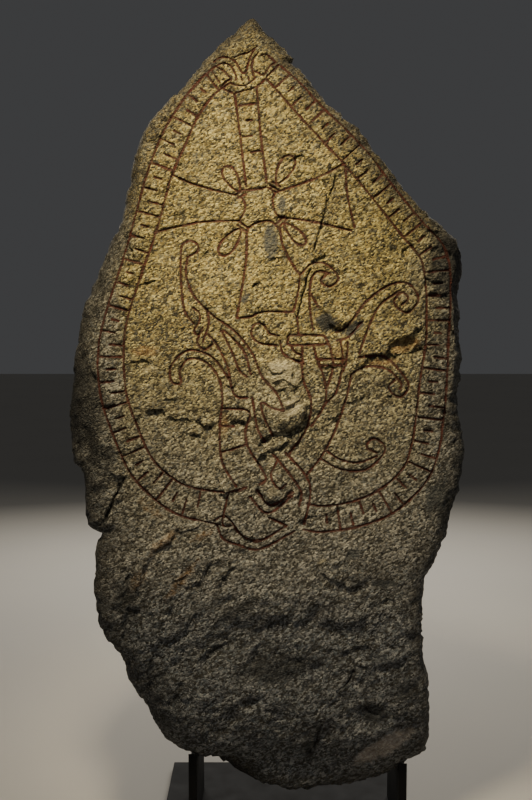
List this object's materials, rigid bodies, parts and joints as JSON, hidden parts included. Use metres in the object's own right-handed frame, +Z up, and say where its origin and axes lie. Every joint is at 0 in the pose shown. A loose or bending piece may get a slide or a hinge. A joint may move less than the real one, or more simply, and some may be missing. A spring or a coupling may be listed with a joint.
{
  "type": "rune stone",
  "caption": "Pointed granite rune stone with an incised serpent band, cross and beast of interlaced ribbons, resting against a low black steel stand.",
  "frame": {"origin": "centre of the underside of the stand's base plate, on the floor", "axes": "+Z up towards the tip of the stone, the carved front faces -Y, +X to the viewer's right"},
  "size_m": [1.028, 0.6, 2.1269],
  "materials": {
    "granite_gneiss": "rough natural surface with shallow red-painted carved lines",
    "black_steel": "satin black paint"
  },
  "bodies": {
    "root": {"rune_stone": "granite_gneiss", "stand_base": "black_steel", "left_upright": "black_steel", "right_upright": "black_steel"}
  },
  "joints": []
}
